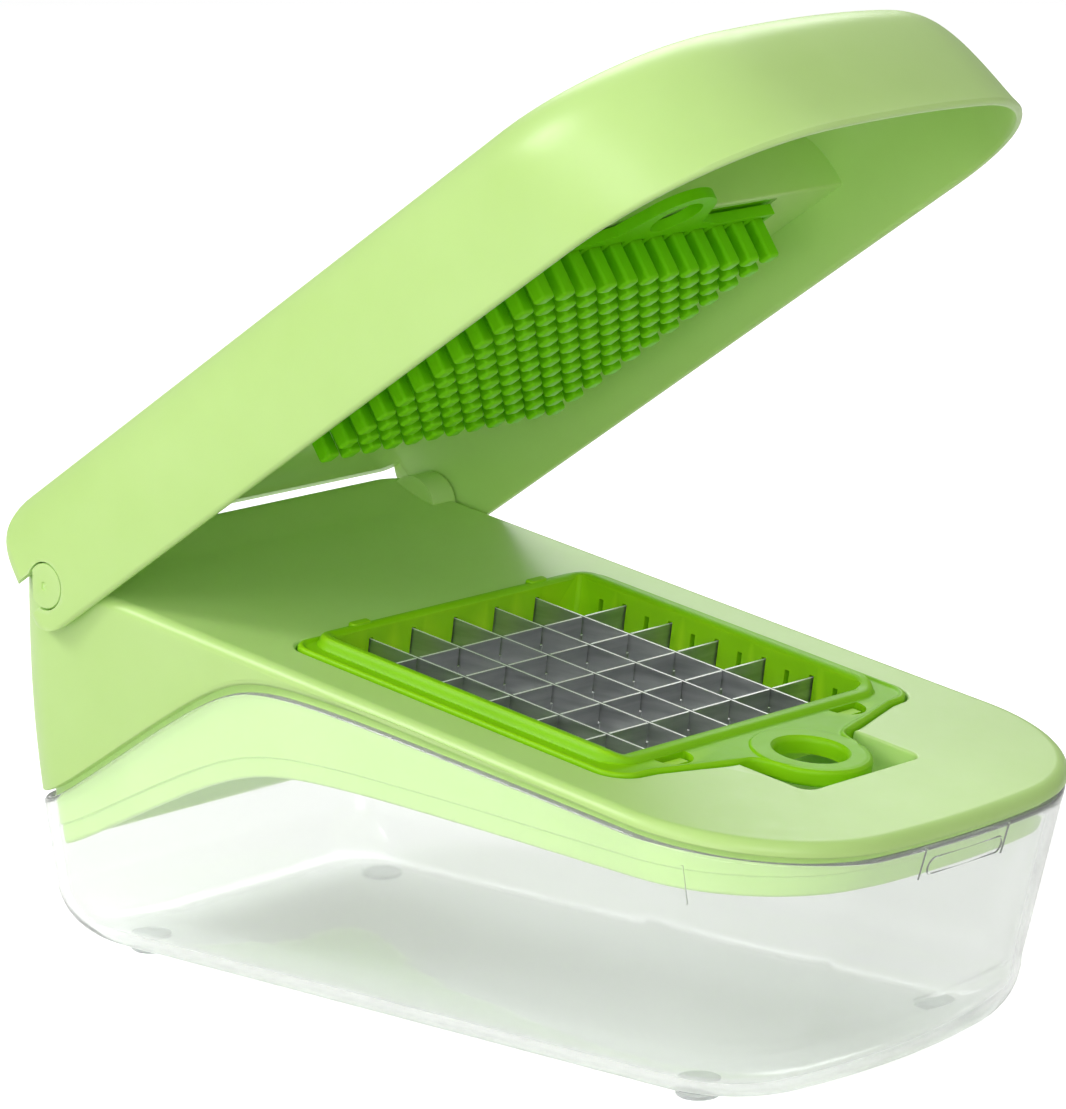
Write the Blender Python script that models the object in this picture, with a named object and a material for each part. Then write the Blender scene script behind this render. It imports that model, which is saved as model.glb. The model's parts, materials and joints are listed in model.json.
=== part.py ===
"""Vegetable dicer: a clear tub, a hinged press lid and a lift-out blade grid.

X runs from the hinge to the nose, Z is up, and the origin is on the resting
plane under the middle of the blade grid. Working units are millimetres, and
every mesh is scaled to metres as it is made.
"""
import math

import bmesh
import bpy
from mathutils import Euler, Matrix, Vector

MM = 0.001

# Driving dimensions
CELL = 12.0                 # blade pitch
CELLS = 6                   # cells along each side of the grid
GAP = 0.3                   # clearance between touching pieces
TILT = math.radians(8.5)    # deck slope, falling to the nose
DECK_Z = 65.0               # deck height above the origin
GRID_HALF = CELL * CELLS / 2

# Tub and base share one drafted outer surface
HALF_TOP = 54.9
REAR_TOP = -104.9
NOSE_TOP = 89.8
HALF_LOW = 46.6
REAR_LOW = -107.4
NOSE_LOW = 78.9
LOW_Z = 14.0
FLOOR_Z = 1.2
REAR_BULGE = 2.4
REAR_SWEEP = 11.0           # how far the bottom edge runs in at the rear
EDGE_RUN = 8.7              # and along the sides and nose
REAR_R = 11.0               # plan corner radii
FRONT_R = 36.0
FRONT_LOW_R = 18.0
NOSE_BOW = 6.0
EDGE_DROP = 2.2             # height of the rounded band round the deck
TUB_WALL = 2.0
BASE_WALL = 4.4

# Rim line that parts the tub from the base, seen from the side
RIM_REAR_Z = 31.0
RIM_SLOPE = 0.64
RIM_START_X = -102.0
SKIRT_REAR_Z = 19.8
SKIRT_MID_Z = 47.2
SKIRT_FALL = 0.062
SKIRT_SLOPE = 0.52

# Hinge and lid
PIN_X = -91.6
PIN_Z = 76.9
PIN_R = 4.5
BOSS_R = 6.2
LID_OPEN = math.radians(33.8)
LID_HALF = 57.2
LID_WALL = 1.8
LID_NOSE = 194.8
LID_REAR = -8.8
RIM_DROP = 8.8              # rim plane below the pin axis
LID_DEPTH = 28.0
PRESS_X = 92.4              # pin axis to the middle of the pusher
PANEL_V = 13.0              # underside of the panel above the rim plane

# Blade insert, in the deck's own frame
PLATE_TOP = 0.4
PLATE_LOW = -2.4
TUBE_HALF = 38.4
TUBE_LOW = -9.0
BLADE_TOP = -1.2
BLADE_LOW = -8.7
BLADE_T = 0.5
RING_U = 53.0
RING_R = 12.5
RING_HOLE_R = 7.8

# Pusher
TOOTH = 3.9
TOOTH_PITCH = 5.9           # a little under half a cell, so that the gaps still meet the blades
TEETH = 2 * CELLS
TOOTH_TIP = -6.2
PUSHER_LOW = 4.5
PUSHER_TOP = 6.7

OBJECT_NAME = "vegetable_dicer"


# ---------------------------------------------------------------- scene setup

def clear_scene():
    for obj in list(bpy.data.objects):
        bpy.data.objects.remove(obj, do_unlink=True)


def make_collection(name):
    collection = bpy.data.collections.new(name)
    bpy.context.scene.collection.children.link(collection)
    return collection


def material(name, colour, roughness, metallic=0.0, alpha=1.0):
    mat = bpy.data.materials.new(name)
    mat.use_nodes = True
    shader = mat.node_tree.nodes["Principled BSDF"]
    shader.inputs["Base Color"].default_value = (*colour, 1.0)
    shader.inputs["Roughness"].default_value = roughness
    shader.inputs["Metallic"].default_value = metallic
    shader.inputs["Alpha"].default_value = alpha
    return mat


def add_empty(name, location, tilt):
    empty = bpy.data.objects.new(name, None)
    empty.location = Vector(location) * MM
    empty.rotation_euler = (0.0, tilt, 0.0)
    PARTS.objects.link(empty)
    return empty


def add_object(name, mesh, collection, parent=None, mat=None):
    obj = bpy.data.objects.new(name, mesh)
    obj.parent = parent
    collection.objects.link(obj)
    if mat:
        obj.data.materials.append(mat)
    if collection is CUTTERS:
        obj.hide_render = True
        obj.display_type = "WIRE"
    return obj


def cut(obj, cutter, operation="DIFFERENCE"):
    mod = obj.modifiers.new(cutter.name, "BOOLEAN")
    mod.operation = operation
    mod.solver = "EXACT"
    mod.object = cutter


# ------------------------------------------------------------ shape functions

def arc(cx, cy, radius, start, end, steps):
    """Points on an arc, in degrees."""
    angles = [math.radians(start + (end - start) * i / steps) for i in range(steps + 1)]
    return [(cx + radius * math.cos(a), cy + radius * math.sin(a)) for a in angles]


def rect(x0, x1, y0, y1, radius=0.0, steps=4):
    """A rectangle, anticlockwise, with round corners if radius is given."""
    if radius == 0.0:
        return [(x0, y0), (x1, y0), (x1, y1), (x0, y1)]
    points = arc(x0 + radius, y0 + radius, radius, 180, 270, steps)
    points += arc(x1 - radius, y0 + radius, radius, 270, 360, steps)
    points += arc(x1 - radius, y1 - radius, radius, 0, 90, steps)
    points += arc(x0 + radius, y1 - radius, radius, 90, 180, steps)
    return points


def plan(half, rear, nose, rear_r, front_r, bulge):
    """Outline from above: straight sides, round corners and a bowed nose."""
    nose_r = (half * half + bulge * bulge) / (2 * bulge)
    cx = nose - nose_r
    fy = half - front_r
    fx = cx + math.sqrt((nose_r - front_r) ** 2 - fy * fy)
    turn = math.degrees(math.atan2(fy, fx - cx))
    near = arc(rear + rear_r, -half + rear_r, rear_r, 180, 270, 5)
    near += arc(fx, -fy, front_r, -90, -turn, 7)
    near += arc(cx, 0.0, nose_r, -turn, 0, 3)[1:]
    far = [(x, -y) for x, y in reversed(near[:-1])]
    return near + far


def flat_ring(outline, z):
    return [Vector((x, y, z)) for x, y in outline]


def deck_ring(outline, offset):
    """The outline set on the deck plane, or the given height above it."""
    return [Vector((x, y, deck_height(x) + offset)) for x, y in outline]


def deck_height(x):
    return DECK_Z - x * math.tan(TILT)


def mix_rings(low, high, t, bow):
    """A ring between two others, bowed out to the rear by bow."""
    ring = []
    for a, b in zip(low, high):
        point = a.lerp(b, t)
        weight = max(0.0, -point.x / 104.0) ** 2
        point.x -= bow * math.sin(math.pi * t) * weight
        ring.append(point)
    return ring


def loft(name, rings, collection, parent=None, mat=None):
    """A closed body through rings of equal point counts, lowest first."""
    bm = bmesh.new()
    loops = [[bm.verts.new(p * MM) for p in ring] for ring in rings]
    count = len(loops[0])
    for low, high in zip(loops, loops[1:]):
        for i in range(count):
            j = (i + 1) % count
            bm.faces.new((low[i], low[j], high[j], high[i]))
    bm.faces.new(list(reversed(loops[0])))
    bm.faces.new(loops[-1])
    bmesh.ops.recalc_face_normals(bm, faces=bm.faces)
    mesh = bpy.data.meshes.new(name)
    bm.to_mesh(mesh)
    bm.free()
    return add_object(name, mesh, collection, parent, mat)


def slab(name, outlines, low, high, collection, parent=None, mat=None, turn=(0, 0, 0)):
    """Flat outlines, holes included, extruded between two heights and turned."""
    curve = bpy.data.curves.new(name, "CURVE")
    curve.dimensions = "2D"
    curve.fill_mode = "BOTH"
    curve.extrude = (high - low) / 2 * MM
    for outline in outlines:
        spline = curve.splines.new("POLY")
        spline.points.add(len(outline) - 1)
        for point, (x, y) in zip(spline.points, outline):
            point.co = (x * MM, y * MM, 0.0, 1.0)
        spline.use_cyclic_u = True
    temp = bpy.data.objects.new(name + "_curve", curve)
    bpy.context.scene.collection.objects.link(temp)
    graph = bpy.context.evaluated_depsgraph_get()
    mesh = bpy.data.meshes.new_from_object(temp.evaluated_get(graph))
    bpy.data.objects.remove(temp, do_unlink=True)
    lift = Matrix.Translation((0.0, 0.0, (high + low) / 2 * MM))
    mesh.transform(Euler([math.radians(a) for a in turn]).to_matrix().to_4x4() @ lift)
    weld(mesh)
    return add_object(name, mesh, collection, parent, mat)


def weld(mesh):
    bm = bmesh.new()
    bm.from_mesh(mesh)
    bmesh.ops.remove_doubles(bm, verts=bm.verts, dist=0.00001)
    bmesh.ops.recalc_face_normals(bm, faces=bm.faces)
    bm.to_mesh(mesh)
    bm.free()


def side_slab(name, outline, half, collection, parent=None, mat=None, at=0.0):
    """An outline drawn in the XZ plane, extruded across the width."""
    return slab(name, [outline], -at - half, -at + half, collection, parent, mat, (90, 0, 0))


def boxes(name, spans, collection, parent=None, mat=None):
    """Separate boxes, each given as (x0, x1, y0, y1, z0, z1)."""
    bm = bmesh.new()
    for x0, x1, y0, y1, z0, z1 in spans:
        size = Matrix.Diagonal(((x1 - x0) * MM, (y1 - y0) * MM, (z1 - z0) * MM, 1.0))
        centre = Vector((x0 + x1, y0 + y1, z0 + z1)) / 2 * MM
        bmesh.ops.create_cube(bm, size=1.0, matrix=Matrix.Translation(centre) @ size)
    mesh = bpy.data.meshes.new(name)
    bm.to_mesh(mesh)
    bm.free()
    return add_object(name, mesh, collection, parent, mat)


def rod(name, radius, y0, y1, collection, parent=None, mat=None, at=(0.0, 0.0), steps=24):
    """A round rod across the width, centred on at = (x, z)."""
    circle = [(at[0] + x, at[1] + z) for x, z in arc(0, 0, radius, 0, 360, steps)[:-1]]
    return side_slab(name, circle, (y1 - y0) / 2, collection, parent, mat, (y0 + y1) / 2)


# ------------------------------------------------------------- tub and base

def top_plan(inset):
    """Outline of the shared surface at the deck, moved in by inset."""
    return plan(HALF_TOP - inset, REAR_TOP + inset, NOSE_TOP - inset,
                REAR_R - inset, FRONT_R - inset, NOSE_BOW)


def tub_rings(inset, top_offset):
    """Rings of the shared outer surface, moved in by inset, lowest first."""
    rings = []
    for degrees in (0, 25, 50, 72):
        angle = math.radians(degrees)
        run_in = 1.0 - math.sin(angle)
        side = (EDGE_RUN - inset / 2) * run_in
        rear = (REAR_SWEEP - inset / 2) * run_in
        outline = plan(HALF_LOW - inset - side, REAR_LOW + inset + rear,
                       NOSE_LOW - inset - side, REAR_R - inset, FRONT_LOW_R - inset, NOSE_BOW)
        rise = (LOW_Z - FLOOR_Z - inset) * (1.0 - math.cos(angle))
        rings.append(flat_ring(outline, FLOOR_Z + inset + rise))
    low = flat_ring(plan(HALF_LOW - inset, REAR_LOW + inset, NOSE_LOW - inset,
                         REAR_R - inset, FRONT_LOW_R - inset, NOSE_BOW), LOW_Z)
    high = deck_ring(top_plan(inset), top_offset)
    rings += [mix_rings(low, high, t, REAR_BULGE) for t in (0.0, 0.25, 0.5, 0.75, 1.0)]
    return rings


def smooth_low(a, b, k):
    return 0.5 * (a + b - math.sqrt((a - b) ** 2 + k * k))


def smooth_high(a, b, k):
    return -smooth_low(-a, -b, k)


def rim_height(x):
    """Top edge of the tub: low behind, a quick rise, then below the deck edge."""
    rise = RIM_REAR_Z + RIM_SLOPE * (x - RIM_START_X)
    crest = smooth_low(rise, deck_height(x) - EDGE_DROP - GAP, 10.0)
    return smooth_high(crest, RIM_REAR_Z, 3.0)


def skirt_height(x):
    """Lower edge of the base's inner skirt, which sits inside the tub."""
    rise = SKIRT_REAR_Z + SKIRT_SLOPE * (x - RIM_START_X)
    crest = smooth_low(rise, SKIRT_MID_Z - SKIRT_FALL * x, 9.4)
    return smooth_high(crest, SKIRT_REAR_Z, 3.0)


def line_across(height, offset=0.0):
    """Points along a side line, closer together where it bends."""
    spots = [-125 + 5 * i for i in range(23)] + [5, 60, 110]
    return [(x, height(x) + offset) for x in spots]


def below(name, height, offset=0.0):
    outline = line_across(height, offset) + [(110, -30), (-125, -30)]
    return side_slab(name, outline, 80, CUTTERS)


def above(name, height, offset=0.0):
    outline = [(-125, 130), (110, 130)] + list(reversed(line_across(height, offset)))
    return side_slab(name, outline, 80, CUTTERS)


def build_container():
    tub = loft("container", tub_rings(0.0, -EDGE_DROP), PARTS, mat=CLEAR)
    inner = tub_rings(TUB_WALL, -EDGE_DROP)
    inner.append([p + Vector((0.0, 0.0, 12.0)) for p in inner[-1]])
    cut(tub, loft("container_inside", inner, CUTTERS))
    cut(tub, above("container_above_rim", rim_height))
    for i, (x, y) in enumerate(((-87, -34), (-87, 34), (55, -35), (55, 35)), 1):
        circle = [(x + a, y + b) for a, b in arc(0, 0, 4.2, 0, 360, 20)[:-1]]
        slab("foot_%d" % i, [circle], 0.0, FLOOR_Z - GAP, PARTS, mat=CLEAR)


def base_outer_rings():
    """The shared surface with the deck's rounded edge band on top."""
    rings = tub_rings(0.0, -EDGE_DROP)
    for degrees in (35, 65, 90):
        angle = math.radians(degrees)
        inset = EDGE_DROP * (1.0 - math.cos(angle))
        rings.append(deck_ring(top_plan(inset), -EDGE_DROP * (1.0 - math.sin(angle))))
    return rings


REAR_CURVE = ((-107.4, 60.0), (-106.0, 66.0), (-104.2, 72.0), (-101.8, 77.0), (-99.6, 79.8))


def build_base():
    base = loft("base_body", base_outer_rings(), PARTS, mat=PASTEL)
    cut(base, below("base_below_rim", rim_height, GAP))
    skirt = loft("base_skirt", tub_rings(TUB_WALL + 0.5, -EDGE_DROP), CUTTERS)
    cut(skirt, below("base_below_skirt", skirt_height))
    cut(base, skirt, "UNION")
    cut(base, loft("base_inside", tub_rings(BASE_WALL, -EDGE_DROP - 0.1), CUTTERS))
    behind = [(-125, 60), (-125, 110), (-99.6, 110)] + list(reversed(REAR_CURVE))
    cut(base, side_slab("base_behind", behind, 80, CUTTERS))
    cut(base, side_slab("base_riser", riser_outline(), 49.5, CUTTERS), "UNION")
    for side in (-1, 1):
        name = "hinge_boss_near" if side < 0 else "hinge_boss_far"
        span = sorted((side * 49.0, side * HALF_TOP))
        cut(base, rod(name, BOSS_R, *span, CUTTERS, at=(PIN_X, PIN_Z)), "UNION")
    wells = slab("base_well_block", [rect(-42.8, 47.6, -46.8, 46.8, 6)], -5.6, -0.8, CUTTERS, DECK)
    cut(base, wells, "UNION")
    pocket = slab("base_pocket_block", [rect(40, 68.4, -19.4, 19.4, 7)], -10.4, -0.9, CUTTERS, DECK)
    cut(base, pocket, "UNION")
    seat = slab("base_seat", [insert_outline(0.4)], PLATE_LOW - GAP, 5.0, CUTTERS, DECK)
    cut(base, seat)
    cut(base, slab("base_pocket", [rect(43, 66, -17, 17, 5)], -8.6, 4.0, CUTTERS, DECK))
    cut(base, slab("base_window", [window_outline()], -20.0, 3.0, CUTTERS, DECK))


def riser_outline():
    """Side view of the rear wall: a concave sweep up from the deck to a round top."""
    sweep = arc(-83.5, deck_height(-83.5) + 22.0, 22.0, 262, 240, 3)
    top = arc(-97.2, 79.6, 2.2, 60, 150, 4)
    outer = [(-101.8, 77.0), (-104.2, 72.0), (-101.5, 69.5)]
    return [(-83.5, deck_height(-83.5) - 2.0)] + sweep + top + outer + [(-98.5, 74.5)]


def window_outline():
    """Opening under the insert, with room for the retainer's clip wall."""
    left = TUBE_HALF + 0.8
    return [(-left, -left), (left, -left), (left, -31), (44.2, -31),
            (44.2, 31), (left, 31), (left, left), (-left, left)]


def build_pins():
    for side, word in ((-1, "near"), (1, "far")):
        span = sorted((side * (HALF_TOP + GAP), side * LID_HALF))
        rod("hinge_pin_" + word, PIN_R, *span, PARTS, mat=PASTEL, at=(PIN_X, PIN_Z))


# --------------------------------------------------------------- blade insert

def insert_outline(grow=0.0):
    """Rectangle with a flared nose that carries the finger ring."""
    g = grow
    near = arc(-34.9, -39.0, 4.8 + g, 180, 270, 3)
    near += arc(38.2, -37.8, 6.0 + g, 270, 350, 4)
    near += [(46.8 + g, -27.0), (49.8 + g, -17.2 - g), (51.0, -RING_R - g)]
    near += arc(RING_U, 0.0, RING_R + g, -95, 0, 9)[1:]
    far = [(x, -y) for x, y in reversed(near[:-1])]
    return near + far


def blade_places():
    reach = CELLS // 2 - 1
    return [CELL * i for i in range(-reach, reach + 1)]


def build_upper_frame():
    opening = rect(-GRID_HALF - 0.3, GRID_HALF + 0.3, -GRID_HALF - 0.3, GRID_HALF + 0.3)
    hole = [(RING_U + x, y) for x, y in arc(0, 0, RING_HOLE_R, 0, 360, 24)[:-1]]
    frame = slab("insert_upper_frame", [insert_outline(), opening, hole],
                 PLATE_LOW, PLATE_TOP, PARTS, DECK, GREEN)
    wall = rect(-TUBE_HALF, TUBE_HALF, -TUBE_HALF, TUBE_HALF)
    tube = slab("frame_tube", [wall, opening], TUBE_LOW, PLATE_TOP - 0.2, CUTTERS, DECK)
    cut(frame, tube, "UNION")
    for side, word in ((-1, "near"), (1, "far")):
        cut(frame, curb("frame_curb_" + word, side), "UNION")
    cut(frame, boxes("frame_slots", side_slots() + end_slots(), CUTTERS, DECK))
    windows = []
    for y in (-25.5, 25.5):
        moon = [(40.4 + a, y + b) for a, b in arc(0, 0, 4.4, -90, 90, 8)]
        windows.append(moon)
    cut(frame, slab("frame_windows", windows, PLATE_LOW - 1, PLATE_TOP + 1, CUTTERS, DECK))


def curb(name, side):
    """Raised lip along one long side of the opening."""
    inner = GRID_HALF + 0.3
    section = [(inner, 0.0), (inner, 1.2), (inner + 1.2, 3.0), (inner + 1.6, 3.2),
               (inner + 2.3, 3.2), (inner + 3.6, 0.0)]
    if side < 0:
        section = [(-y, z) for y, z in reversed(section)]
    return slab(name, [section], -37.6, 36.6, CUTTERS, DECK, turn=(90, 0, 90))


def side_slots():
    """Slots in the long walls, at every half cell, open at the bottom; every second holds a blade."""
    half = BLADE_T / 2 + GAP
    spans = []
    for i in range(-5, 6):
        u = i * CELL / 2
        top = BLADE_TOP + (0.4 if i % 2 == 0 else -0.4)
        for y0, y1 in ((-37.8, -35.0), (35.0, 37.8)):
            spans.append((u - half, u + half, y0, y1, TUBE_LOW - 1, top))
    return spans


def end_slots():
    """Slots in the short walls, one to a long blade."""
    half = BLADE_T / 2 + GAP
    spans = []
    for y in blade_places():
        for u0, u1 in ((-37.8, -35.0), (35.0, 37.8)):
            spans.append((u0, u1, y - half, y + half, TUBE_LOW - 1, BLADE_TOP + 0.4))
    return spans


def build_lower_frame():
    outer = rect(-TUBE_HALF, TUBE_HALF, -TUBE_HALF, TUBE_HALF)
    inner = rect(-GRID_HALF, GRID_HALF, -GRID_HALF, GRID_HALF)
    low = -13.0
    frame = slab("insert_lower_frame", [outer, inner], low, TUBE_LOW - GAP, PARTS, DECK, GREEN)
    clips = [(38.0, 40.3, -30, 30, low + 0.2, TUBE_LOW - 0.6)]
    clips.append((38.8, 40.3, -30, 30, low + 0.4, PLATE_LOW - GAP))
    cut(frame, boxes("retainer_wall", clips[:1], CUTTERS, DECK), "UNION")
    cut(frame, boxes("retainer_front", clips[1:], CUTTERS, DECK), "UNION")
    hooks = [(39.0, 43.6, y - 3.2, y + 3.2, -4.6, PLATE_LOW - GAP) for y in (-25.5, 25.5)]
    nubs = [(40.9, 42.9, y - 2.4, y + 2.4, -3.6, -0.6) for y in (-25.5, 25.5)]
    cut(frame, boxes("retainer_hooks", hooks, CUTTERS, DECK), "UNION")
    cut(frame, boxes("retainer_nubs", nubs, CUTTERS, DECK), "UNION")


def blade_outline(notch_from_top):
    """Long side view of a blade with a half-depth notch at each crossing."""
    end = GRID_HALF + 1.5
    half = BLADE_T / 2 + GAP
    middle = (BLADE_TOP + BLADE_LOW) / 2
    edge = BLADE_TOP if notch_from_top else BLADE_LOW
    depth = middle - GAP / 2 if notch_from_top else middle + GAP / 2
    notched = [(-end, edge)]
    for s in blade_places():
        notched += [(s - half, edge), (s - half, depth), (s + half, depth), (s + half, edge)]
    notched.append((end, edge))
    other = BLADE_LOW if notch_from_top else BLADE_TOP
    return notched + [(end, other), (-end, other)]


def build_blades():
    for i, s in enumerate(blade_places(), 1):
        slab("blade_long_%d" % i, [blade_outline(False)], -s - BLADE_T / 2, -s + BLADE_T / 2,
             PARTS, DECK, STEEL, (90, 0, 0))
        slab("blade_cross_%d" % i, [blade_outline(True)], s - BLADE_T / 2, s + BLADE_T / 2,
             PARTS, DECK, STEEL, (90, 0, 90))


# ------------------------------------------------------------------------ lid

# Height above the rim, half width, rear end, nose end and nose corner radius
LID_LEVELS = (
    (0.0, LID_HALF, LID_REAR, LID_NOSE, 39.0),
    (12.0, LID_HALF - 0.1, LID_REAR, 190.6, 37.0),
    (19.0, LID_HALF - 0.7, LID_REAR, 187.8, 36.0),
    (23.5, LID_HALF - 2.4, LID_REAR + 0.8, 185.4, 35.0),
    (26.3, LID_HALF - 5.0, LID_REAR + 3.2, 182.4, 33.0),
    (27.6, LID_HALF - 8.2, LID_REAR + 6.8, 179.0, 30.0),
    (LID_DEPTH, LID_HALF - 12.0, LID_REAR + 11.0, 175.0, 27.0),
)


def lid_rings(inset, low=0.0):
    """Lid sections moved in by inset, in the hinge's frame, rim first."""
    rings = []
    for i, (v, half, rear, nose, corner) in enumerate(LID_LEVELS):
        height = -RIM_DROP + (v - inset * min(1.0, v / 20.0))
        if i == 0:
            height += low
        outline = plan(half - inset, rear + inset, nose - inset, 4.0, corner - inset, 8.0)
        rings.append(flat_ring(outline, height))
    return rings


def build_lid():
    lid = loft("lid_shell", lid_rings(0.0), PARTS, HINGE, PASTEL)
    cut(lid, loft("lid_inside", lid_rings(LID_WALL, low=-3.0), CUTTERS, HINGE))
    panel = loft("lid_panel", lid_rings(LID_WALL / 2), CUTTERS, HINGE)
    cut(panel, side_slab("lid_panel_side", panel_outline(), 70, CUTTERS, HINGE), "INTERSECT")
    cut(lid, panel, "UNION")
    low = PANEL_V - RIM_DROP
    bed = [(PRESS_X - 37.2, PRESS_X + 37.2, -37.2, 37.2, low - 2, PUSHER_TOP + GAP)]
    cut(lid, boxes("lid_bed", bed, CUTTERS, HINGE))
    rear = [(-30, -4.0, -LID_HALF + LID_WALL, LID_HALF - LID_WALL, -30, 11.3)]
    cut(lid, boxes("lid_rear_opening", rear, CUTTERS, HINGE))
    lobe = [(0.0, -30.0), (-30.0, -30.0), (-30.0, 0.0)] + arc(0, 0, RIM_DROP, 180, 270, 6)
    cut(lid, side_slab("lid_below_ear", lobe, 80, CUTTERS, HINGE))
    mouth = math.degrees(math.asin(4.0 / 4.8))
    notch = [(-20, -2.9), (-20, 4.0)] + arc(0, 0, 4.8, 180 - mouth, -143, 14)
    cut(lid, side_slab("lid_pin_notch", notch, 80, CUTTERS, HINGE))


def panel_outline():
    """Side view of the panel over the pusher and its front wall."""
    low = PANEL_V - RIM_DROP
    return [(47, low), (131, low), (131, 30), (128.8, 30), (128.8, low + 5), (47, low + 5)]


def build_pusher():
    """A plate on a grid of square teeth, with a gap over every blade."""
    edge = GRID_HALF + 0.7
    lines = [-edge]
    for i in range(TEETH):
        middle = (i - (TEETH - 1) / 2) * TOOTH_PITCH
        lines += [middle - TOOTH / 2, middle + TOOTH / 2]
    lines.append(edge)
    bm = bmesh.new()
    count = len(lines)
    bmesh.ops.create_grid(bm, x_segments=count - 1, y_segments=count - 1, size=0.5)
    for vert in bm.verts:
        i = round((vert.co.x + 0.5) * (count - 1))
        j = round((vert.co.y + 0.5) * (count - 1))
        vert.co = Vector((PRESS_X + lines[i], lines[j], PUSHER_LOW)) * MM
    teeth = [f for f in bm.faces if is_tooth(f.calc_center_median() / MM, lines)]
    raise_faces(bm, list(bm.faces), PUSHER_TOP - PUSHER_LOW)
    raise_faces(bm, teeth, TOOTH_TIP - PUSHER_LOW)
    bmesh.ops.delete(bm, geom=teeth, context="FACES_ONLY")
    bmesh.ops.recalc_face_normals(bm, faces=bm.faces)
    mesh = bpy.data.meshes.new("pusher_plate")
    bm.to_mesh(mesh)
    bm.free()
    add_object("pusher_plate", mesh, PARTS, HINGE, GREEN)


def is_tooth(centre, lines):
    def inside(value):
        slot = sum(1 for line in lines if line < value)
        return slot % 2 == 0 and slot < len(lines) - 1
    return inside(centre.x - PRESS_X) and inside(centre.y)


def raise_faces(bm, faces, distance):
    new = bmesh.ops.extrude_face_region(bm, geom=faces)["geom"]
    verts = [item for item in new if isinstance(item, bmesh.types.BMVert)]
    bmesh.ops.translate(bm, verts=verts, vec=(0.0, 0.0, distance * MM))


def build_cleaning_grid():
    """Thin lattice round the roots of the teeth, with its own finger ring."""
    half = GRID_HALF - 0.2
    low, high = 1.7, 3.9
    tab_u = half + 5.0
    outline = rect(-half, half, -half, half)
    tab = [(half, -18), (half + 2.2, -12)] + arc(tab_u, 0, 9.5, -70, 70, 10)
    tab += [(half + 2.2, 12), (half, 18)]
    outline[2:2] = tab
    outline = [(PRESS_X + x, y) for x, y in outline]
    hole = [(PRESS_X + tab_u + 1.6 + x, y) for x, y in arc(0, 0, 5.4, 0, 360, 20)[:-1]]
    grid = slab("cleaning_grid", [outline, hole], low, high, PARTS, HINGE, GREEN)
    reach = TOOTH / 2 + 0.45
    spans = []
    for i in range(TEETH):
        for j in range(TEETH):
            x = PRESS_X + (i - (TEETH - 1) / 2) * TOOTH_PITCH
            y = (j - (TEETH - 1) / 2) * TOOTH_PITCH
            spans.append((x - reach, x + reach, y - reach, y + reach, low - 1, high + 1))
    cut(grid, boxes("cleaning_grid_holes", spans, CUTTERS, HINGE))


# ----------------------------------------------------------------------- main

clear_scene()
PARTS = make_collection(OBJECT_NAME)
CUTTERS = make_collection("cutters")
CLEAR = material("clear_plastic", (0.86, 0.9, 0.88), 0.08, alpha=0.35)
PASTEL = material("pastel_green_plastic", (0.6, 0.8, 0.38), 0.4)
GREEN = material("bright_green_plastic", (0.18, 0.5, 0.02), 0.35)
STEEL = material("stainless_steel", (0.72, 0.73, 0.74), 0.22, metallic=1.0)
DECK = add_empty("deck_frame", (0.0, 0.0, DECK_Z), TILT)
HINGE = add_empty("lid_hinge", (PIN_X, 0.0, PIN_Z), -LID_OPEN)

build_container()
build_base()
build_pins()
build_upper_frame()
build_lower_frame()
build_blades()
build_lid()
build_pusher()
build_cleaning_grid()
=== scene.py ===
"""The looks of the vegetable dicer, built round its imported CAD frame.

Shapes are worked out in millimetres and scaled to metres as each mesh is made. X runs from
the hinge to the nose and Z is up. Two tilted frames are used as well: DECK, on the sloping
top of the base, and HINGE, on the lid's pin axis, both with X towards the nose.
"""

import json
import math

import bmesh
import bpy
import numpy as np
from mathutils import Matrix, Vector


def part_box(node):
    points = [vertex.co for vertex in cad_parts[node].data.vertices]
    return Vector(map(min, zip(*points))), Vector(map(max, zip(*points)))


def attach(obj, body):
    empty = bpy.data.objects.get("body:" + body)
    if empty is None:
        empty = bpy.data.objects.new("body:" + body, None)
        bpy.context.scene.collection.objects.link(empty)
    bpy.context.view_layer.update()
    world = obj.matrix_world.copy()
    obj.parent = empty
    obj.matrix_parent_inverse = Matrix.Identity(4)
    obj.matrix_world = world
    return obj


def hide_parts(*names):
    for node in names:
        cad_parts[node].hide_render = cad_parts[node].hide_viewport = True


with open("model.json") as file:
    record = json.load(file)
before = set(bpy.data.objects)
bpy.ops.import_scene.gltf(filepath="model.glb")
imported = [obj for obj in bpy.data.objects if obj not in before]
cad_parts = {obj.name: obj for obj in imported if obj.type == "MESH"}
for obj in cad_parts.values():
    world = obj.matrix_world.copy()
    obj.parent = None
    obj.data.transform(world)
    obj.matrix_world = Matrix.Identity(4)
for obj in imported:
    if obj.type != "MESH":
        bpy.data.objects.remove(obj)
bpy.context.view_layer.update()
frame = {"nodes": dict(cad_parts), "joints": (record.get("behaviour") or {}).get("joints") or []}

MM = 0.001
WELD = 0.002            # points closer than this are joined after a boolean
SHARP_ANGLE = 32.0      # degrees; edges sharper than this stay sharp in the shading
JOINTS = {joint["name"]: joint for joint in frame["joints"]}

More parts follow.
